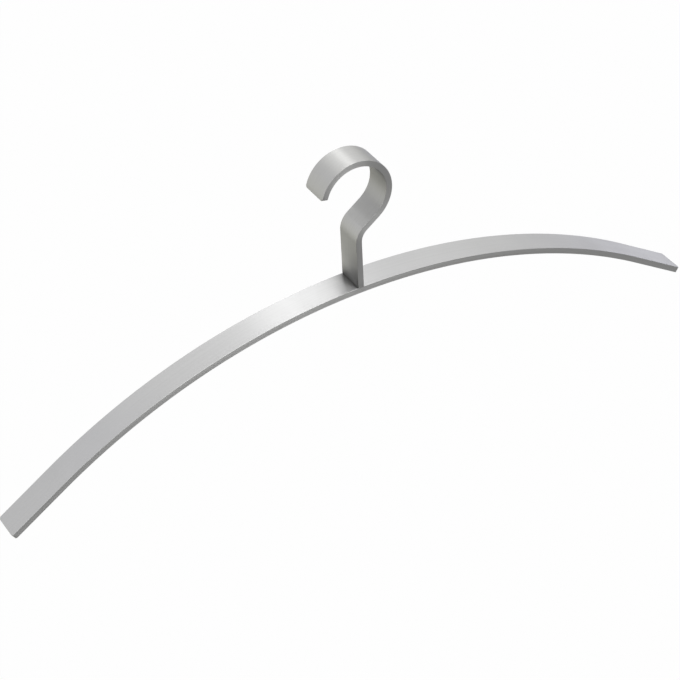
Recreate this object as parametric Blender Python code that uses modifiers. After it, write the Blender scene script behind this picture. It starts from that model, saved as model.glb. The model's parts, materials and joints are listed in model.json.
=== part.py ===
# Aluminium clothes hanger: an arched flat bar, the bow, with a hook bent from the same bar.
# The hook stands square on the middle of the bow and is held from below by two countersunk screws.
# Metres, +Z up, X along the bow, Y across the bar. The origin is the inner top of the hook,
# where a wardrobe rail carries the hanger.

import math

import bmesh
import bpy

# Flat bar, the stock of both bent pieces
BAR_WIDTH = 0.0180
BAR_THICKNESS = 0.0037
CORNER_RADIUS = 0.0015  # in plan, at each free end
EDGE_RADIUS = 0.0002  # where the sharp edges of the bar are broken

# Bow: a straight stretch, an arc and the same straight stretch
BOW_RADIUS = 0.3600  # of the upper face
BOW_HALF_ANGLE = math.radians(32.5)
BOW_END_LENGTH = 0.0385

# Hook: shank, neck bend, straight and loop, with radii on the bar's centreline
SHANK_LENGTH = 0.0302
NECK_RADIUS = 0.0105
NECK_ANGLE = math.radians(53.8)
LOOP_RADIUS = 0.0207
LOOP_ANGLE = math.radians(220.8)

# Countersunk screws with a hexagon socket
SCREW_DIAMETER = 0.0025
SCREW_LENGTH = 0.0100  # over all, as such a screw is sold
HEAD_DIAMETER = 0.0047
HEAD_RIM = 0.0002
SOCKET_WIDTH = 0.0015  # across flats
SOCKET_DEPTH = 0.0009
TIP_CHAMFER = 0.0004
SCREW_SPACING = 0.0100  # along Y, between the two

# Fits of the joint under the foot
SEAT_GAP = 0.0002  # foot to bow, and head to countersink
SHANK_CLEARANCE = 0.0002  # all round, in the bow
THREAD_CLEARANCE = 0.0001  # all round, in the foot
HEAD_SINK = 0.0001  # head below the bow's lower face
DRILL_OVERRUN = 0.0015  # tapped hole past the screw's end
DRILL_POINT_ANGLE = math.radians(118)
CUT_OVERRUN = 0.0020  # cutters past the face that they start from

# Facets
CHORD_ERROR = 0.00002  # furthest that a facet lies inside its arc
CORNER_SEGMENTS = 5
EDGE_SEGMENTS = 2
TURNED_SIDES = 28

ALUMINIUM_COLOR = (0.50, 0.50, 0.51, 1.0)
STEEL_COLOR = (0.46, 0.46, 0.47, 1.0)

# The straight that carries on from the neck is as long as sets the loop's centre over the foot.
neck_straight = (
    (LOOP_RADIUS + NECK_RADIUS) * math.cos(NECK_ANGLE) - NECK_RADIUS
) / math.sin(NECK_ANGLE)
loop_rise = (
    SHANK_LENGTH
    + (LOOP_RADIUS + NECK_RADIUS) * math.sin(NECK_ANGLE)
    + neck_straight * math.cos(NECK_ANGLE)
)
loop_inner_radius = LOOP_RADIUS - BAR_THICKNESS / 2

# Heights below the inner top of the loop
foot_z = -loop_inner_radius - loop_rise
bow_top_z = foot_z - SEAT_GAP
bow_under_z = bow_top_z - BAR_THICKNESS
head_face_z = bow_under_z + HEAD_SINK
screw_tip_z = head_face_z + SCREW_LENGTH

# Each run of a bent bar is its length and its turn, counterclockwise seen from the front.
bow_arc_radius = BOW_RADIUS - BAR_THICKNESS / 2
BOW_RUNS = (
    (BOW_END_LENGTH, 0.0),
    (bow_arc_radius * 2 * BOW_HALF_ANGLE, -2 * BOW_HALF_ANGLE),
    (BOW_END_LENGTH, 0.0),
)
HOOK_RUNS = (
    (SHANK_LENGTH, 0.0),
    (NECK_RADIUS * NECK_ANGLE, -NECK_ANGLE),
    (neck_straight, 0.0),
    (LOOP_RADIUS * LOOP_ANGLE, LOOP_ANGLE),
)


def clear_scene():
    for obj in list(bpy.data.objects):
        bpy.data.objects.remove(obj, do_unlink=True)


def make_collection(name):
    collection = bpy.data.collections.new(name)
    bpy.context.scene.collection.children.link(collection)
    return collection


def metal(name, color, roughness):
    material = bpy.data.materials.new(name)
    material.use_nodes = True
    shader = material.node_tree.nodes["Principled BSDF"]
    shader.inputs["Base Color"].default_value = color
    shader.inputs["Metallic"].default_value = 1.0
    shader.inputs["Roughness"].default_value = roughness
    return material


def add_object(name, mesh, collection, parent=None, location=(0.0, 0.0, 0.0)):
    obj = bpy.data.objects.new(name, mesh)
    collection.objects.link(obj)
    obj.parent = parent
    obj.location = location
    return obj


def facet_count(turn, radius):
    """Facets in a bend. An odd count leaves one flat in the middle, where the bow takes the foot."""
    outer_radius = radius + BAR_THICKNESS / 2
    facet_angle = 2 * math.acos(1 - CHORD_ERROR / outer_radius)
    return 2 * math.ceil(abs(turn) / facet_angle / 2) + 1


def stations(runs):
    """Distances along the bar at which it is sliced, so that it can bend there."""
    found, done = [], 0.0
    for length, turn in runs:
        count = facet_count(turn, length / abs(turn)) if turn else 1
        found += [done + length * step / count for step in range(1, count + 1)]
        done += length
    return found[:-1]


def straight_bar(length, square_start):
    """A cut length of bar along X: plan corners rounded, then its edges broken.

    A square start is left sharp.
    """
    bm = bmesh.new()
    bmesh.ops.create_cube(bm, size=1.0)
    bmesh.ops.scale(bm, vec=(length, BAR_WIDTH, BAR_THICKNESS), verts=bm.verts)
    bmesh.ops.translate(bm, vec=(length / 2, 0.0, 0.0), verts=bm.verts)

    def at_start(edge):
        return all(vert.co.x < EDGE_RADIUS for vert in edge.verts)

    def across_thickness(edge):
        return abs(edge.verts[0].co.z - edge.verts[1].co.z) > BAR_THICKNESS / 2

    def bevel(edges, radius, segments):
        bmesh.ops.bevel(
            bm,
            geom=edges,
            affect="EDGES",
            offset_type="OFFSET",
            offset=radius,
            segments=segments,
            profile=0.5,
            material=-1,
        )

    corners = [e for e in bm.edges if across_thickness(e)]
    bevel(
        [e for e in corners if not (square_start and at_start(e))],
        CORNER_RADIUS,
        CORNER_SEGMENTS,
    )
    rims = [e for e in bm.edges if not across_thickness(e)]
    bevel(
        [e for e in rims if not (square_start and at_start(e))],
        EDGE_RADIUS,
        EDGE_SEGMENTS,
    )
    return bm


def slice_bar(bm, distances):
    for distance in distances:
        bmesh.ops.bisect_plane(
            bm,
            geom=bm.verts[:] + bm.edges[:] + bm.faces[:],
            plane_co=(distance, 0.0, 0.0),
            plane_no=(1.0, 0.0, 0.0),
        )


def point_on_path(runs, distance, x, z, heading):
    """Where the centreline has got to, and which way it heads, this far along the runs."""
    for index, (length, turn) in enumerate(runs):
        last = index == len(runs) - 1
        gone = distance if last else min(distance, length)
        if turn:
            radius = length / turn
            ahead = heading + gone / radius
            x += radius * (math.sin(ahead) - math.sin(heading))
            z -= radius * (math.cos(ahead) - math.cos(heading))
            heading = ahead
        else:
            x += gone * math.cos(heading)
            z += gone * math.sin(heading)
        distance -= gone
        if distance <= 0:
            break
    return x, z, heading


def bend_bar(bm, runs, x, z, heading):
    """Lays a straight bar along the runs, from this start and heading."""
    for vert in bm.verts:
        along, offset = vert.co.x, vert.co.z
        at_x, at_z, turned = point_on_path(runs, along, x, z, heading)
        vert.co.x = at_x - offset * math.sin(turned)
        vert.co.z = at_z + offset * math.cos(turned)


def bent_bar(name, runs, start, square_start=False):
    bm = straight_bar(sum(length for length, _ in runs), square_start)
    slice_bar(bm, stations(runs))
    bend_bar(bm, runs, *start)
    mesh = bpy.data.meshes.new(name)
    bm.to_mesh(mesh)
    bm.free()
    mesh.shade_smooth()
    mesh.set_sharp_from_angle(angle=math.radians(30))
    return mesh


def bow_start():
    """The left end of the bow's centreline, from the middle of its upper face."""
    reach = bow_arc_radius * math.sin(BOW_HALF_ANGLE) + BOW_END_LENGTH * math.cos(BOW_HALF_ANGLE)
    drop = bow_arc_radius * (1 - math.cos(BOW_HALF_ANGLE)) + BOW_END_LENGTH * math.sin(BOW_HALF_ANGLE)
    return -reach, -BAR_THICKNESS / 2 - drop, BOW_HALF_ANGLE


def turned(name, profile, collection, parent, location):
    """A turned solid from a profile of (radius, height) points, from the top down its outer side."""
    mesh = bpy.data.meshes.new(name)
    edges = [(i, i + 1) for i in range(len(profile) - 1)]
    mesh.from_pydata([(radius, 0.0, height) for radius, height in profile], edges, [])
    obj = add_object(name, mesh, collection, parent, location)
    screw = obj.modifiers.new("turn", "SCREW")
    screw.axis = "Z"
    screw.steps = screw.render_steps = TURNED_SIDES
    screw.use_merge_vertices = True
    screw.merge_threshold = 1e-6
    screw.use_smooth_shade = False
    return obj


def hide_cutter(obj):
    obj.hide_render = True
    obj.display_type = "WIRE"


def cut(obj, cutter):
    hide_cutter(cutter)
    boolean = obj.modifiers.new("cut " + cutter.name, "BOOLEAN")
    boolean.operation = "DIFFERENCE"
    boolean.solver = "EXACT"
    boolean.object = cutter


def screw_hole(name, location, collection, parent):
    """Clearance hole and countersink, from the bow's lower face up.

    The cone runs parallel to the head's.
    """
    hole_radius = SCREW_DIAMETER / 2 + SHANK_CLEARANCE
    mouth_radius = HEAD_DIAMETER / 2 + SEAT_GAP * math.sqrt(2) + HEAD_RIM + HEAD_SINK
    profile = [
        (0.0, BAR_THICKNESS + CUT_OVERRUN),
        (hole_radius, BAR_THICKNESS + CUT_OVERRUN),
        (hole_radius, mouth_radius - hole_radius),
        (mouth_radius, 0.0),
        (mouth_radius, -CUT_OVERRUN),
        (0.0, -CUT_OVERRUN),
    ]
    return turned(name, profile, collection, parent, location)


def tapped_hole(name, location, collection, parent):
    """Blind hole up into the foot, with the drill's point at its end."""
    hole_radius = SCREW_DIAMETER / 2 + THREAD_CLEARANCE
    depth = screw_tip_z - foot_z + DRILL_OVERRUN
    profile = [
        (0.0, depth + hole_radius / math.tan(DRILL_POINT_ANGLE / 2)),
        (hole_radius, depth),
        (hole_radius, -CUT_OVERRUN),
        (0.0, -CUT_OVERRUN),
    ]
    return turned(name, profile, collection, parent, location)


def hook_screw(name, location, collection, cutters, parent):
    """Countersunk screw, head down, from the face of its head up to its tip."""
    shank_radius = SCREW_DIAMETER / 2
    head_radius = HEAD_DIAMETER / 2
    profile = [
        (0.0, SCREW_LENGTH),
        (shank_radius - TIP_CHAMFER, SCREW_LENGTH),
        (shank_radius, SCREW_LENGTH - TIP_CHAMFER),
        (shank_radius, HEAD_RIM + head_radius - shank_radius),
        (head_radius, HEAD_RIM),
        (head_radius, 0.0),
        (0.0, 0.0),
    ]
    screw = turned(name, profile, collection, parent, location)
    cut(screw, hexagon_socket(name + "_socket", location, cutters, parent))
    return screw


def hexagon_socket(name, location, collection, parent):
    across_corners = SOCKET_WIDTH / math.cos(math.radians(30))
    height = SOCKET_DEPTH + CUT_OVERRUN
    bm = bmesh.new()
    bmesh.ops.create_cone(
        bm,
        cap_ends=True,
        segments=6,
        radius1=across_corners / 2,
        radius2=across_corners / 2,
        depth=height,
    )
    bmesh.ops.translate(bm, vec=(0.0, 0.0, SOCKET_DEPTH - height / 2), verts=bm.verts)
    mesh = bpy.data.meshes.new(name)
    bm.to_mesh(mesh)
    bm.free()
    return add_object(name, mesh, collection, parent, location)


def build():
    clear_scene()
    parts = make_collection("aluminium_clothes_hanger")
    cutters = make_collection("cutters")
    hanger = add_object("hanger", None, parts)

    bow = add_object("bow", bent_bar("bow", BOW_RUNS, bow_start()), parts, hanger, (0.0, 0.0, bow_top_z))
    bow.data.materials.append(metal("bow_aluminium", ALUMINIUM_COLOR, 0.36))

    upright = (0.0, 0.0, math.radians(90))
    hook_mesh = bent_bar("hook", HOOK_RUNS, upright, square_start=True)
    hook = add_object("hook", hook_mesh, parts, hanger, (0.0, 0.0, foot_z))
    hook.data.materials.append(metal("hook_aluminium", ALUMINIUM_COLOR, 0.40))

    steel = metal("screw_steel", STEEL_COLOR, 0.30)
    for place, side in (("front", -1), ("back", 1)):
        y = side * SCREW_SPACING / 2
        cut(bow, screw_hole("bow_hole_" + place, (0.0, y, bow_under_z), cutters, hanger))
        cut(hook, tapped_hole("foot_hole_" + place, (0.0, y, foot_z), cutters, hanger))
        name = "hook_screw_" + place
        screw = hook_screw(name, (0.0, y, head_face_z), parts, cutters, hanger)
        screw.data.materials.append(steel)


build()
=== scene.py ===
import json
import math

import bmesh
import bpy
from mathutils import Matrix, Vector

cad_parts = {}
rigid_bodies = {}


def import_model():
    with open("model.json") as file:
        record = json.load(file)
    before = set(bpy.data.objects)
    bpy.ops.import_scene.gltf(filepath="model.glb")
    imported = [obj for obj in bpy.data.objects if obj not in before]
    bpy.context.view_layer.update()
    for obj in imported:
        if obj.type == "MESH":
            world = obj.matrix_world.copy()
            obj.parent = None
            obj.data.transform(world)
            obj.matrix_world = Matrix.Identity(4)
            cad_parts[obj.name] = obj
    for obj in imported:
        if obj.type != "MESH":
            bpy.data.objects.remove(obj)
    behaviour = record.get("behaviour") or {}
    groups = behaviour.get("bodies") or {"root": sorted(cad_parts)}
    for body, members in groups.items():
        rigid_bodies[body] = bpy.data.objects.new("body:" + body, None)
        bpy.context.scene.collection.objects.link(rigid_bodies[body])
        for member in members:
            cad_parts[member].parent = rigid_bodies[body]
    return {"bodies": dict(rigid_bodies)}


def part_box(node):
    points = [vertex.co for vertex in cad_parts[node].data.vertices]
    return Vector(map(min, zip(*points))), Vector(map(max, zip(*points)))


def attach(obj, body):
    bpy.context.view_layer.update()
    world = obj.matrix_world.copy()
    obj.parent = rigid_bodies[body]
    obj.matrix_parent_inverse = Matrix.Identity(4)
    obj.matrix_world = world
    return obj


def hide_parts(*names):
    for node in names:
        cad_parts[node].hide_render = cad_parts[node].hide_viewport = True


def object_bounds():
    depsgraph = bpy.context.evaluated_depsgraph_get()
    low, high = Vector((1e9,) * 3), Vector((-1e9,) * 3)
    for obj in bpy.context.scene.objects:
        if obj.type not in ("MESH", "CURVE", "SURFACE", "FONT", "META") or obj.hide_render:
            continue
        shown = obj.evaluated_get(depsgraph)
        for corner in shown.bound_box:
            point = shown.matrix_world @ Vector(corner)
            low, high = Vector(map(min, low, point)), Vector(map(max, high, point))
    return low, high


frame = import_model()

# Dressed model of a flat-bar clothes hanger: the arched bow, the hook bent from the same bar,
# and the two countersunk screws that go up through the bow into the hook's foot.

cadBox = [list(corner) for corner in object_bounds()]
print("frame loaded")

bowLow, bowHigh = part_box("bow")
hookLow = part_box("hook")[0]
screwLow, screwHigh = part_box("hook_screw_front")
bowTop = bowHigh[2]  # crown of the bow, under the hook's foot
barWidth = bowHigh[1] - bowLow[1]
screwLength = screwHigh[2] - screwLow[2]
bodyName = next(iter(frame["bodies"]))


# Helpers for meshes

sharpAngle = 35  # degrees, from which two faces don't shade into each other
weldDistance = 1e-7  # closer points are one


def finishMesh(bm, name):
    mesh = bpy.data.meshes.new(name)
    bm.to_mesh(mesh)
    bm.free()
    mesh.shade_smooth()
    mesh.set_sharp_from_angle(angle=math.radians(sharpAngle))
    piece = bpy.data.objects.new(name, mesh)
    bpy.context.scene.collection.objects.link(piece)
    return piece


def boolean(piece, other, operation):
    # Applies the cut or union at once and takes the other mesh away.
    step = piece.modifiers.new(operation, "BOOLEAN")
    step.operation = operation
    step.solver = "EXACT"
    step.object = other
    depsgraph = bpy.context.evaluated_depsgraph_get()
    made = bpy.data.meshes.new_from_object(
        piece.evaluated_get(depsgraph), preserve_all_data_layers=True, depsgraph=depsgraph
    )
    piece.modifiers.clear()
    piece.data = made
    bpy.data.objects.remove(other, do_unlink=True)


def evenNormals(piece):
    # Keeps the flats flat and lets only the rounded edges shade.
    weighted = piece.modifiers.new("evenNormals", "WEIGHTED_NORMAL")
    weighted.mode = "FACE_AREA"
    weighted.keep_sharp = True


def handIn(piece, node):
    evenNormals(piece)
    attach(piece, bodyName)
    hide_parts(node)


# Bending flat bar

flatBar = {
    "thickness": 0.0037,
    "cornerRadius": 0.0015,  # plan corners of the free ends
    "cornerSegments": 8,
    "edgeRadius": 0.0002,  # of the broken edges
    "edgeSegments": 4,
    "chordError": 0.000002,  # furthest that a facet lies inside its bend
    "sideShare": 0.5,  # a face is on a side or an end where less of its normal than this goes up or down
    "endShare": 0.7,  # and on an end where more of it than this goes along the bar
}


def bevelEdges(bm, edges, radius, segments):
    bmesh.ops.bevel(
        bm, geom=edges, affect="EDGES", offset_type="OFFSET", offset=radius,
        segments=segments, profile=0.5, material=-1,
    )


def cutLength(length, squareStart):
    # A straight length of bar along X. Plan corners are rounded first, then the sharp edges broken.
    bm = bmesh.new()
    bmesh.ops.create_cube(bm, size=1.0)
    bmesh.ops.scale(bm, vec=(length, barWidth, flatBar["thickness"]), verts=bm.verts)
    bmesh.ops.translate(bm, vec=(length / 2, 0, 0), verts=bm.verts)

    def atFoot(edge):
        return squareStart and all(vert.co.x < flatBar["edgeRadius"] for vert in edge.verts)

    def upright(edge):
        return abs(edge.verts[0].co.z - edge.verts[1].co.z) > flatBar["thickness"] / 2

    corners = [edge for edge in bm.edges if upright(edge) and not atFoot(edge)]
    bevelEdges(bm, corners, flatBar["cornerRadius"], flatBar["cornerSegments"])
    rims = [edge for edge in bm.edges if not upright(edge) or atFoot(edge)]
    bevelEdges(bm, rims, flatBar["edgeRadius"], flatBar["edgeSegments"])
    return bm


def bendStations(runs):
    # Places along the bar where it is cut across. An odd number of facets in each bend leaves one
    # flat in its middle, which on the bow is where the hook's foot stands.
    places, done = [], 0.0
    for length, turn in runs:
        count = 1
        if turn:
            outerRadius = length / abs(turn) + flatBar["thickness"] / 2
            facetAngle = 2 * math.acos(1 - flatBar["chordError"] / outerRadius)
            count = 2 * math.ceil(abs(turn) / facetAngle / 2) + 1
        places += [done + length * step / count for step in range(1, count + 1)]
        done += length
    return places[:-1]


def markBar(bm, length, squareStart):
    # The grain map follows the brushing: u along the bar, v round its section, in metres.
    # The wear attribute is 1 on the middle of the broken edges and 0 on the flats.
    # Narrow sides and ends take the second material.
    bm.normal_update()
    grain = bm.loops.layers.uv.new("grain")
    for face in bm.faces:
        nx, ny, nz = face.normal
        face.material_index = 1 if abs(nz) < flatBar["sideShare"] else 0
        for loop in face.loops:
            along, across, up = loop.vert.co
            if abs(nx) > flatBar["endShare"]:
                loop[grain].uv = (across, up)
            elif abs(nz) > abs(ny):
                loop[grain].uv = (along, across + (0 if nz > 0 else 2 * barWidth))
            else:
                loop[grain].uv = (along, up + math.copysign(barWidth, ny))

    wear = bm.verts.layers.float.new("wear")
    corner, edge = flatBar["cornerRadius"], flatBar["edgeRadius"]
    for vert in bm.verts:
        along, across, up = vert.co
        pastEnd = along - length + corner
        if not squareStart:
            pastEnd = max(pastEnd, corner - along)
        pastSide = abs(across) - barWidth / 2 + corner
        outside = math.hypot(max(pastEnd, 0), max(pastSide, 0)) + min(max(pastEnd, pastSide), 0) - corner
        inPlan = 1 + outside / edge
        inHeight = 1 + (abs(up) - flatBar["thickness"] / 2) / edge
        vert[wear] = min(max(min(inPlan, inHeight), 0) * math.sqrt(2), 1)


def pointOnPath(runs, distance, x, z, heading):
    # Where the bar's middle line is after a distance from its start, and which way it heads there
    for length, turn in runs:
        gone = min(distance, length)
        if turn:
            radius = length / turn
            ahead = heading + gone / radius
            x += radius * (math.sin(ahead) - math.sin(heading))
            z -= radius * (math.cos(ahead) - math.cos(heading))
            heading = ahead
        else:
            x += gone * math.cos(heading)
            z += gone * math.sin(heading)
        distance -= gone
        if distance <= 0:
            break
    return x, z, heading


def bendBar(name, runs, start, materials, squareStart=False):
    # Each run is a length of the bar's middle line and its turn, counterclockwise from the front.
    length = sum(run[0] for run in runs)
    bm = cutLength(length, squareStart)
    for place in bendStations(runs):
        everything = bm.verts[:] + bm.edges[:] + bm.faces[:]
        bmesh.ops.bisect_plane(bm, geom=everything, plane_co=(place, 0, 0), plane_no=(1, 0, 0))
    markBar(bm, length, squareStart)
    for vert in bm.verts:
        x, z, heading = pointOnPath(runs, vert.co.x, *start)
        offset = vert.co.z
        vert.co.x = x - offset * math.sin(heading)
        vert.co.z = z + offset * math.cos(heading)
    piece = finishMesh(bm, name)
    for material in materials:
        piece.data.materials.append(material)
    return piece


# The screws, and the turned cutters for their holes

screw = {
    "diameter": 0.0025,
    "headDiameter": 0.0047,
    "headRim": 0.0002,  # height of the head's upright edge, with its chamfer
    "rimChamfer": 0.00006,
    "tipChamfer": 0.0004,
    "coreDiameter": 0.0020,  # under the thread
    "pitch": 0.00045,
    "crestShare": 0.07,  # of the pitch, half the thread's width at its crest
    "rootShare": 0.44,  # of the pitch, half its width at its root
    "sinkShare": 1 / 6,  # of the thread's height, the depth that its root is sunk into the core
    "stepsPerTurn": 24,
    "plainNeck": 0.0006,  # between the head's cone and the first turn
    "socketWidth": 0.0015,  # across the flats of the hexagon
    "socketDepth": 0.0009,
    "socketChamfer": 0.00012,
    "sides": 64,
    "spacing": 0.0100,  # between the two, along Y
    "headSink": 0.0001,  # head below the bow's lower face
}


def screwPlace(side, height):
    # On the axis of the front screw, side -1, or of the back one, side 1
    return (0, side * screw["spacing"] / 2, height)


def finishOnBase(bm, name, base):
    # The screws and the cutters have no rubbed edges, so their wear stays 0.
    bm.verts.layers.float.new("wear")
    bmesh.ops.translate(bm, vec=base, verts=bm.verts)
    return finishMesh(bm, name)


def turnProfile(name, profile, sides, base):
    # Spins a profile of (radius, height) points round Z and stands it on its base. The grain runs round it.
    bm = bmesh.new()
    points = [bm.verts.new((radius, 0, height)) for radius, height in profile]
    edges = [bm.edges.new(pair) for pair in zip(points, points[1:])]
    bmesh.ops.spin(
        bm, geom=points + edges, cent=(0, 0, 0), axis=(0, 0, 1), angle=math.tau,
        steps=sides, use_merge=True,
    )
    bmesh.ops.remove_doubles(bm, verts=bm.verts, dist=weldDistance)
    bmesh.ops.recalc_face_normals(bm, faces=bm.faces)
    grain = bm.loops.layers.uv.new("grain")
    for face in bm.faces:
        middle = face.calc_center_median()
        facing = math.atan2(middle.y, middle.x)
        reach = math.hypot(middle.x, middle.y)
        for loop in face.loops:
            x, y, z = loop.vert.co
            radius = math.hypot(x, y)
            turn = math.atan2(y, x) - facing if radius > weldDistance else 0
            turn = (turn + math.pi) % math.tau - math.pi
            loop[grain].uv = ((facing + turn) * reach, z + radius)
    return finishOnBase(bm, name, base)


def screwBlank(name, base):
    head, core = screw["headDiameter"] / 2, screw["coreDiameter"] / 2
    chamfer, rim, tip = screw["rimChamfer"], screw["headRim"], screw["tipChamfer"]
    profile = [
        (0, screwLength),
        (core - tip / 2, screwLength),
        (core, screwLength - tip / 2),
        (core, rim + head - core),
        (head, rim),
        (head, chamfer),
        (head - chamfer, 0),
        (0, 0),
    ]
    return turnProfile(name, profile, screw["sides"], base)


def screwThread(base):
    # One helical ridge, a face spun up round the core, with its root sunk into the core
    core, crest, pitch = screw["coreDiameter"] / 2, screw["diameter"] / 2, screw["pitch"]
    low = screw["headRim"] + screw["headDiameter"] / 2 - core + screw["plainNeck"]
    high = screwLength - screw["tipChamfer"] - pitch / 2
    steps = round((high - low) / pitch * screw["stepsPerTurn"])
    root = core - (crest - core) * screw["sinkShare"]
    bm = bmesh.new()
    corners = [
        (root, 0, low - pitch * screw["rootShare"]),
        (crest, 0, low - pitch * screw["crestShare"]),
        (crest, 0, low + pitch * screw["crestShare"]),
        (root, 0, low + pitch * screw["rootShare"]),
    ]
    face = bm.faces.new([bm.verts.new(corner) for corner in corners])
    bmesh.ops.spin(
        bm, geom=[face] + list(face.edges) + list(face.verts), cent=(0, 0, 0), axis=(0, 0, 1),
        dvec=(0, 0, pitch / screw["stepsPerTurn"]), angle=math.tau * steps / screw["stepsPerTurn"],
        steps=steps, use_merge=False,
    )
    bmesh.ops.recalc_face_normals(bm, faces=bm.faces)
    grain = bm.loops.layers.uv.new("grain")
    for ridge in bm.faces:
        for loop in ridge.loops:
            x, y, z = loop.vert.co
            loop[grain].uv = ((z - low) / pitch * math.tau * crest, math.hypot(x, y))
    return finishOnBase(bm, "thread", base)


def socketPunch(base):
    # A hexagon from the socket's bottom to well below the head. The grain runs down its sides.
    depth, over = screw["socketDepth"], screw["socketWidth"]
    acrossCorners = screw["socketWidth"] / math.cos(math.radians(30))
    bm = bmesh.new()
    bmesh.ops.create_cone(
        bm, cap_ends=True, segments=6, radius1=acrossCorners / 2, radius2=acrossCorners / 2,
        depth=depth + over, calc_uvs=False,
    )
    bmesh.ops.translate(bm, vec=(0, 0, depth - (depth + over) / 2), verts=bm.verts)
    grain = bm.loops.layers.uv.new("grain")
    for face in bm.faces:
        for loop in face.loops:
            x, y, z = loop.vert.co
            loop[grain].uv = (z, math.atan2(y, x) * screw["socketWidth"])
    return finishOnBase(bm, "socket", base)


def makeScrew(node, place, side, material):
    base = screwPlace(side, screwLow[2])
    piece = screwBlank("hookScrew" + place, base)
    boolean(piece, screwThread(base), "UNION")
    boolean(piece, socketPunch(base), "DIFFERENCE")
    half, chamfer = screw["socketWidth"] / 2, screw["socketChamfer"]
    outer = half + chamfer
    mouth = [(0, outer), (outer, 0), (outer, -chamfer), (0, -chamfer)]
    boolean(piece, turnProfile("socketMouth", mouth, screw["sides"], base), "DIFFERENCE")
    piece.data.materials.clear()
    piece.data.materials.append(material)
    handIn(piece, node)


def drillForScrews(piece, profile, sides, height):
    for side in (-1, 1):
        boolean(piece, turnProfile("drill", profile, sides, screwPlace(side, height)), "DIFFERENCE")


# The bow and its holes

bow = {
    "radius": 0.3600,  # of the upper face
    "halfAngle": 32.5,  # degrees
    "endLength": 0.0385,  # straight stretch at each end
    "holeClearance": 0.0001,
    "headClearance": 0.00005,
    "holeSides": 64,
}


def makeBow(materials):
    arcRadius = bow["radius"] - flatBar["thickness"] / 2
    half, end = math.radians(bow["halfAngle"]), bow["endLength"]
    runs = ((end, 0), (arcRadius * 2 * half, -2 * half), (end, 0))
    reach = arcRadius * math.sin(half) + end * math.cos(half)
    drop = arcRadius * (1 - math.cos(half)) + end * math.sin(half)
    start = (-reach, bowTop - flatBar["thickness"] / 2 - drop, half)
    piece = bendBar("bowBar", runs, start, materials)

    over = flatBar["thickness"]
    hole = screw["diameter"] / 2 + bow["holeClearance"]
    mouth = screw["headDiameter"] / 2 + screw["headRim"] + screw["headSink"] + bow["headClearance"]
    profile = [
        (0, 2 * over), (hole, 2 * over), (hole, mouth - hole), (mouth, 0), (mouth, -over), (0, -over),
    ]
    drillForScrews(piece, profile, bow["holeSides"], bowTop - flatBar["thickness"])
    handIn(piece, "bow")


# The hook and its tapped holes

hook = {
    "shankLength": 0.0302,
    "neckRadius": 0.0105,  # on the bar's middle line, as the loop's
    "neckAngle": 53.8,  # degrees
    "loopRadius": 0.0207,
    "loopAngle": 220.8,  # degrees
    "seatGap": 0.00002,  # the foot is clamped on the bow
    "tappedClearance": 0.00004,
    "tappedDepth": 0.0077,
    "drillPointAngle": 118,  # degrees
    "holeSides": 48,
}
loopInside = hook["loopRadius"] - flatBar["thickness"] / 2  # radius, up to the origin at its top


def makeHook(materials):
    neck, loop = math.radians(hook["neckAngle"]), math.radians(hook["loopAngle"])
    neckRadius, loopRadius = hook["neckRadius"], hook["loopRadius"]
    # The straight between the two bends is just long enough to set the loop's centre over the foot.
    straight = ((loopRadius + neckRadius) * math.cos(neck) - neckRadius) / math.sin(neck)
    footHeight = bowTop + hook["seatGap"]
    lowered = hookLow[2] - footHeight  # clearance in the frame, closed here by a longer shank
    runs = (
        (hook["shankLength"] + lowered, 0),
        (neckRadius * neck, -neck),
        (straight, 0),
        (loopRadius * loop, loop),
    )
    piece = bendBar("hookBar", runs, (0, footHeight, math.pi / 2), materials, squareStart=True)

    depth, over = hook["tappedDepth"], flatBar["thickness"]
    hole = screw["diameter"] / 2 + hook["tappedClearance"]
    point = hole / math.tan(math.radians(hook["drillPointAngle"] / 2))
    profile = [(0, depth + point), (hole, depth), (hole, -over), (0, -over)]
    drillForScrews(piece, profile, hook["holeSides"], footHeight)
    handIn(piece, "hook")


# Metal

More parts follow.
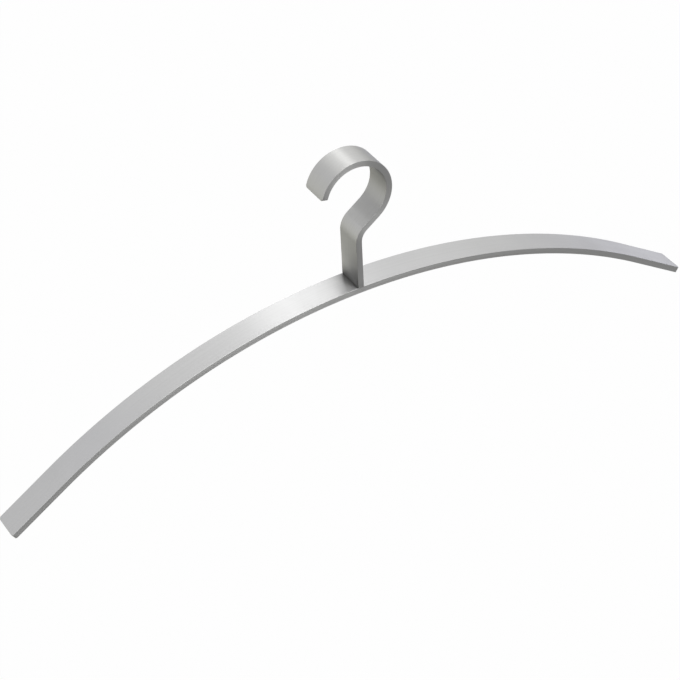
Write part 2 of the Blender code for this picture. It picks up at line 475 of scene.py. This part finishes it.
brushed = {
    # The patch of painted shade round the foot, standing in for the shank's shadow, has a reach in metres
    # and a tone, and it is wider at the back where its skew is over 0. The loop's painted shade tone is the
    # one on its inner face.
    "bow": {
        "color": (0.56, 0.56, 0.56), "roughness": 0.39, "anisotropy": 1.0, "seed": 0.0,
        "paintedShadeReach": 0.0056, "paintedShadeTone": 0.66, "paintedShadeSkew": 0.88, "loopShadeTone": 1.0,
    },
    "hook": {
        "color": (0.62, 0.62, 0.61), "roughness": 0.54, "anisotropy": 0.98, "seed": 3.7,
        "paintedShadeReach": 0.0125, "paintedShadeTone": 0.46, "paintedShadeSkew": -0.20, "loopShadeTone": 0.85,
    },
    "side": {
        "color": (0.79, 0.79, 0.78), "roughness": 0.50, "anisotropy": 0.60, "seed": 5.2,
        "paintedShadeReach": 0.0040, "paintedShadeTone": 0.90, "paintedShadeSkew": 0.0, "loopShadeTone": 1.0,
    },
    "screws": {
        "color": (0.50, 0.50, 0.51), "roughness": 0.28, "anisotropy": 0.50, "seed": 8.1,
        "paintedShadeReach": 0.0010, "paintedShadeTone": 0.90, "paintedShadeSkew": 0.0, "loopShadeTone": 1.0,
    },
    "grainTurn": 0.25,  # of a full turn, so that highlights spread across the grain
    # Fine, middling and broad streaks, whose scales are per metre, with their share of the sum
    "streaks": (
        {"along": 60, "across": 9000, "shift": 0.0, "detail": 2.0, "share": 0.30},
        {"along": 9, "across": 850, "shift": 1.3, "detail": 2.0, "share": 0.50},
        {"along": 5, "across": 260, "shift": 2.6, "detail": 1.0, "share": 0.20},
    ),
    "clouds": 45,  # per metre
    "cloudDetail": 3.0,
    "streakTint": 0.13,
    "streakRoughness": 0.07,
    "cloudRoughness": 0.03,
    "grooveDepth": 0.000004,
    "grooveStrength": 0.35,
    "leastWear": 0.3,  # of the broken edges, where the clouds are darkest
    "edgeRoughness": -0.04,
    "edgeTint": 0.60,
    # A narrow line of painted shade round the foot, in the crease
    "creaseShadeReach": 0.0010,
    "creaseShadeTone": 0.90,
    "loopShadeReach": 0.0013,  # how far out from the loop's inner face its painted shade fades
}
noiseMiddle = 0.5  # a noise texture runs from 0 to 1


def calculate(tree, operation, first, second=0.0, clamp=False):
    # A Math node on two sockets or numbers
    node = tree.nodes.new("ShaderNodeMath")
    node.operation = operation
    node.use_clamp = clamp
    for socket, value in zip(node.inputs, (first, second)):
        if isinstance(value, (int, float)):
            socket.default_value = value
        else:
            tree.links.new(value, socket)
    return node.outputs["Value"]


def addShare(tree, total, value, share):
    return calculate(tree, "ADD", total, calculate(tree, "MULTIPLY", value, share))


def lengthAfter(tree, vector, steps):
    # Length of a vector after a few steps, each an operation and its second vector
    for operation, other in steps:
        node = tree.nodes.new("ShaderNodeVectorMath")
        node.operation = operation
        tree.links.new(vector, node.inputs[0])
        if other is not None:
            node.inputs[1].default_value = other
        vector = node.outputs["Vector"]
    length = tree.nodes.new("ShaderNodeVectorMath")
    length.operation = "LENGTH"
    tree.links.new(vector, length.inputs[0])
    return length.outputs["Value"]


def distanceToFoot(tree, position):
    # Distance from the outline of the hook's foot on the bow
    corner = (flatBar["thickness"] / 2, barWidth / 2, 0)
    steps = (("SUBTRACT", (0, 0, bowTop)), ("ABSOLUTE", None), ("SUBTRACT", corner), ("MAXIMUM", (0, 0, 0)))
    return lengthAfter(tree, position, steps)


def distanceToLoopAxis(tree, position):
    # Distance from the line along Y through the middle of the loop
    steps = (("MULTIPLY", (1, 0, 1)), ("SUBTRACT", (0, 0, -loopInside)))
    return lengthAfter(tree, position, steps)


def paintShade(tree, brightness, position, look):
    # Painted shade: darkens the colour round the foot, for the shank's shadow and the crease, and on the
    # loop's inner face.
    footDistance = distanceToFoot(tree, position)
    split = tree.nodes.new("ShaderNodeSeparateXYZ")
    tree.links.new(position, split.inputs["Vector"])
    skew = calculate(tree, "MULTIPLY", split.outputs["Y"], 2 * look["paintedShadeSkew"] / barWidth)
    shadePatchDistance = calculate(tree, "DIVIDE", footDistance, calculate(tree, "ADD", skew, 1.0))
    loopDistance = calculate(tree, "SUBTRACT", distanceToLoopAxis(tree, position), loopInside)
    for distance, reach, tone in (
        (shadePatchDistance, look["paintedShadeReach"], look["paintedShadeTone"]),
        (footDistance, brushed["creaseShadeReach"], brushed["creaseShadeTone"]),
        (loopDistance, brushed["loopShadeReach"], look["loopShadeTone"]),
    ):
        shade = tree.nodes.new("ShaderNodeMapRange")
        shade.interpolation_type = "SMOOTHSTEP"
        shade.inputs["From Max"].default_value = reach
        shade.inputs["To Min"].default_value = tone
        tree.links.new(distance, shade.inputs["Value"])
        brightness = calculate(tree, "MULTIPLY", brightness, shade.outputs["Result"])
    return brightness


def streakNoise(tree, grainMap, seed, streak):
    # Noise drawn out along the bar
    mapping = tree.nodes.new("ShaderNodeMapping")
    mapping.inputs["Location"].default_value = (seed + streak["shift"], streak["shift"], 0)
    mapping.inputs["Scale"].default_value = (streak["along"], streak["across"], 1)
    tree.links.new(grainMap, mapping.inputs["Vector"])
    noise = tree.nodes.new("ShaderNodeTexNoise")
    noise.noise_dimensions = "2D"
    noise.inputs["Scale"].default_value = 1.0
    noise.inputs["Detail"].default_value = streak["detail"]
    tree.links.new(mapping.outputs["Vector"], noise.inputs["Vector"])
    return noise.outputs["Fac"]


def brushedMetal(name, look):
    material = bpy.data.materials.new(name)
    material.use_nodes = True
    tree = material.node_tree
    nodes, links = tree.nodes, tree.links
    shader = nodes["Principled BSDF"]
    shader.inputs["Metallic"].default_value = 1.0
    shader.inputs["Anisotropic"].default_value = look["anisotropy"]
    shader.inputs["Anisotropic Rotation"].default_value = brushed["grainTurn"]

    # Streaks and clouds both centred on zero
    grainMap = nodes.new("ShaderNodeUVMap")
    grainMap.uv_map = "grain"
    streaks = 0.0
    for streak in brushed["streaks"]:
        noise = streakNoise(tree, grainMap.outputs["UV"], look["seed"], streak)
        streaks = addShare(tree, streaks, noise, streak["share"])
    streaks = calculate(tree, "SUBTRACT", streaks, noiseMiddle)
    place = nodes.new("ShaderNodeTexCoord")
    cloudNoise = nodes.new("ShaderNodeTexNoise")
    cloudNoise.inputs["Scale"].default_value = brushed["clouds"]
    cloudNoise.inputs["Detail"].default_value = brushed["cloudDetail"]
    links.new(place.outputs["Object"], cloudNoise.inputs["Vector"])
    clouds = calculate(tree, "SUBTRACT", cloudNoise.outputs["Fac"], noiseMiddle)

    wear = nodes.new("ShaderNodeAttribute")
    wear.attribute_name = "wear"
    unevenness = calculate(tree, "ADD", cloudNoise.outputs["Fac"], brushed["leastWear"])
    rubbed = calculate(tree, "MULTIPLY", wear.outputs["Fac"], unevenness, clamp=True)

    brightness = addShare(tree, 1.0, streaks, 2 * brushed["streakTint"])
    brightness = addShare(tree, brightness, rubbed, brushed["edgeTint"])
    # Painted shade round the foot, in the crease and inside the loop
    brightness = paintShade(tree, brightness, place.outputs["Object"], look)
    tint = nodes.new("ShaderNodeVectorMath")
    tint.operation = "SCALE"
    tint.inputs[0].default_value = look["color"]
    links.new(brightness, tint.inputs["Scale"])
    links.new(tint.outputs["Vector"], shader.inputs["Base Color"])

    roughness = addShare(tree, look["roughness"], streaks, 2 * brushed["streakRoughness"])
    roughness = addShare(tree, roughness, clouds, 2 * brushed["cloudRoughness"])
    roughness = addShare(tree, roughness, rubbed, brushed["edgeRoughness"])
    links.new(roughness, shader.inputs["Roughness"])

    grooves = nodes.new("ShaderNodeBump")
    grooves.inputs["Strength"].default_value = brushed["grooveStrength"]
    grooves.inputs["Distance"].default_value = brushed["grooveDepth"]
    links.new(streaks, grooves.inputs["Height"])
    links.new(grooves.outputs["Normal"], shader.inputs["Normal"])

    tangent = nodes.new("ShaderNodeTangent")
    tangent.direction_type = "UV_MAP"
    tangent.uv_map = "grain"
    links.new(tangent.outputs["Tangent"], shader.inputs["Tangent"])
    return material


sideAluminium = brushedMetal("sideAluminium", brushed["side"])
print("bending the bow")
makeBow((brushedMetal("bowAluminium", brushed["bow"]), sideAluminium))
print("bending the hook")
makeHook((brushedMetal("hookAluminium", brushed["hook"]), sideAluminium))
print("turning the screws")
screwSteel = brushedMetal("screwSteel", brushed["screws"])
makeScrew("hook_screw_front", "Front", -1, screwSteel)
makeScrew("hook_screw_back", "Back", 1, screwSteel)


# Studio

studio = {
    "floorDrop": 1.6,  # below the bow's ends
    "floorSize": 12.0,
    "floorColor": (0.86, 0.86, 0.86),
    "floorWhiteShare": 0.97,  # in what the camera and the metal see of it, where the rest is paint
    "roomStrength": 0.80,
    "backdropStrength": 1.0,
    "tentRadius": 1.5,
    "tentSegments": 48,
    "tentFade": (-0.3, 0.45),  # from the front ramp to the back one, as a share of the radius along Y
    "tentStrength": 3.4,
    # Tones of the tent round the Y axis, in degrees: from below by the left, the top and the right to below
    "tentBack": (
        (-180, (0.10, 0.10, 0.10)), (-145, (0.34, 0.34, 0.31)), (-110, (0.37, 0.37, 0.34)),
        (-75, (0.29, 0.29, 0.28)), (-45, (0.36, 0.36, 0.37)), (-20, (0.35, 0.35, 0.35)),
        (0, (0.32, 0.32, 0.32)), (8, (0.53, 0.53, 0.53)), (16, (1.00, 1.00, 1.00)),
        (24, (0.51, 0.51, 0.51)), (32, (0.35, 0.35, 0.35)), (45, (0.39, 0.39, 0.39)),
        (65, (0.37, 0.37, 0.36)), (90, (0.43, 0.43, 0.46)), (115, (0.50, 0.50, 0.52)),
        (145, (0.20, 0.20, 0.20)), (180, (0.10, 0.10, 0.10)),
    ),
    "tentFront": (
        (-180, (0.06, 0.06, 0.06)), (-130, (0.01, 0.01, 0.01)), (-80, (0.27, 0.27, 0.27)),
        (-40, (0.20, 0.20, 0.20)), (0, (0.44, 0.44, 0.44)), (40, (0.35, 0.35, 0.35)),
        (80, (0.01, 0.01, 0.01)), (130, (0.09, 0.09, 0.09)), (180, (0.06, 0.06, 0.06)),
    ),
}
white = (1, 1, 1, 1)
hangerCentre = Vector([(low + high) / 2 for low, high in zip(*cadBox)])


def seenShare(tree):
    # 1 for camera, glossy and transmitted rays, which see the white, and 0 for the rays that light
    path = tree.nodes.new("ShaderNodeLightPath")
    seen = calculate(tree, "MAXIMUM", path.outputs["Is Camera Ray"], path.outputs["Is Glossy Ray"])
    return calculate(tree, "MAXIMUM", seen, path.outputs["Is Transmission Ray"])


def makeRoom():
    world = bpy.data.worlds.new("room")
    bpy.context.scene.world = world
    world.use_nodes = True
    tree = world.node_tree
    nodes, links = tree.nodes, tree.links
    lighting = nodes["Background"]
    lighting.inputs["Color"].default_value = white
    lighting.inputs["Strength"].default_value = studio["roomStrength"]
    backdrop = nodes.new("ShaderNodeBackground")
    backdrop.inputs["Color"].default_value = white
    backdrop.inputs["Strength"].default_value = studio["backdropStrength"]
    mix = nodes.new("ShaderNodeMixShader")
    links.new(seenShare(tree), mix.inputs["Fac"])
    links.new(lighting.outputs["Background"], mix.inputs[1])
    links.new(backdrop.outputs["Background"], mix.inputs[2])
    links.new(mix.outputs["Shader"], nodes["World Output"].inputs["Surface"])


def emptyMaterial(name):
    material = bpy.data.materials.new(name)
    material.use_nodes = True
    material.node_tree.nodes.clear()
    return material


def stageMesh(bm, name, at, material):
    bmesh.ops.translate(bm, vec=at, verts=bm.verts)
    surface = finishMesh(bm, name)
    surface.data.materials.append(material)
    return surface


def makeFloor():
    # Diffuse paint, which takes the shadow, mixed with the white that the camera and the metal see
    material = emptyMaterial("paleFloor")
    tree = material.node_tree
    nodes, links = tree.nodes, tree.links
    output = nodes.new("ShaderNodeOutputMaterial")
    paint = nodes.new("ShaderNodeBsdfDiffuse")
    paint.inputs["Color"].default_value = (*studio["floorColor"], 1)
    glow = nodes.new("ShaderNodeEmission")
    glow.inputs["Strength"].default_value = studio["backdropStrength"]
    mix = nodes.new("ShaderNodeMixShader")
    whiteShare = calculate(tree, "MULTIPLY", seenShare(tree), studio["floorWhiteShare"])
    links.new(whiteShare, mix.inputs["Fac"])
    links.new(paint.outputs["BSDF"], mix.inputs[1])
    links.new(glow.outputs["Emission"], mix.inputs[2])
    links.new(mix.outputs["Shader"], output.inputs["Surface"])

    bm = bmesh.new()
    bmesh.ops.create_grid(bm, x_segments=1, y_segments=1, size=studio["floorSize"] / 2)
    height = bowLow[2] - studio["floorDrop"]
    stageMesh(bm, "floor", (hangerCentre.x, hangerCentre.y, height), material)


def toneRamp(tree, turn, stops):
    node = tree.nodes.new("ShaderNodeValToRGB")
    node.color_ramp.interpolation = "EASE"
    elements = node.color_ramp.elements
    elements[0].position, elements[1].position = 0, 1
    for angle, _ in stops[1:-1]:
        elements.new(angle / 360 + 0.5)
    for element, (_, tone) in zip(elements, stops):
        element.color = (*tone, 1)
    tree.links.new(turn, node.inputs["Fac"])
    return node.outputs["Color"]


def makeTent():
    # A light tent all round, seen only in the metal, with its tones on two ramps
    material = emptyMaterial("lightTent")
    tree = material.node_tree
    nodes, links = tree.nodes, tree.links
    place = nodes.new("ShaderNodeTexCoord")
    fromCentre = nodes.new("ShaderNodeVectorMath")
    fromCentre.operation = "SUBTRACT"
    fromCentre.inputs[1].default_value = hangerCentre
    links.new(place.outputs["Object"], fromCentre.inputs[0])
    split = nodes.new("ShaderNodeSeparateXYZ")
    links.new(fromCentre.outputs["Vector"], split.inputs["Vector"])

    turn = nodes.new("ShaderNodeMapRange")
    turn.inputs["From Min"].default_value = -math.pi
    turn.inputs["From Max"].default_value = math.pi
    bearing = calculate(tree, "ARCTAN2", split.outputs["X"], split.outputs["Z"])
    links.new(bearing, turn.inputs["Value"])
    fade = nodes.new("ShaderNodeMapRange")
    fade.interpolation_type = "SMOOTHSTEP"
    fade.inputs["From Min"].default_value = studio["tentFade"][0] * studio["tentRadius"]
    fade.inputs["From Max"].default_value = studio["tentFade"][1] * studio["tentRadius"]
    links.new(split.outputs["Y"], fade.inputs["Value"])

    tones = nodes.new("ShaderNodeMix")
    tones.data_type = "RGBA"
    links.new(fade.outputs["Result"], tones.inputs["Factor"])
    links.new(toneRamp(tree, turn.outputs["Result"], studio["tentFront"]), tones.inputs["A"])
    links.new(toneRamp(tree, turn.outputs["Result"], studio["tentBack"]), tones.inputs["B"])
    glow = nodes.new("ShaderNodeEmission")
    glow.inputs["Strength"].default_value = studio["tentStrength"]
    links.new(tones.outputs["Result"], glow.inputs["Color"])
    output = nodes.new("ShaderNodeOutputMaterial")
    links.new(glow.outputs["Emission"], output.inputs["Surface"])

    bm = bmesh.new()
    segments = studio["tentSegments"]
    bmesh.ops.create_uvsphere(
        bm, u_segments=segments, v_segments=segments // 2, radius=studio["tentRadius"]
    )
    tent = stageMesh(bm, "lightTent", hangerCentre, material)
    tent.visible_camera = False
    tent.visible_diffuse = False
    tent.visible_shadow = False


camera = {
    "position": (-0.53078, -0.95890, 0.71989),
    "turn": (52.4020, 2.4289, -30.3520),  # degrees
    "lens": 126.913,  # millimetres, as the sensor
    "sensor": 36,
    "clipEnd": 50,
}


def makeCamera():
    optics = bpy.data.cameras.new("camera")
    optics.sensor_width = camera["sensor"]
    optics.lens = camera["lens"]
    optics.clip_end = camera["clipEnd"]
    view = bpy.data.objects.new("camera", optics)
    view.location = camera["position"]
    view.rotation_euler = [math.radians(angle) for angle in camera["turn"]]
    bpy.context.scene.collection.objects.link(view)
    bpy.context.scene.camera = view


print("setting the studio")
bpy.context.scene.view_settings.view_transform = "Standard"
makeRoom()
makeFloor()
makeTent()
makeCamera()

bpy.context.view_layer.update()
print("done")
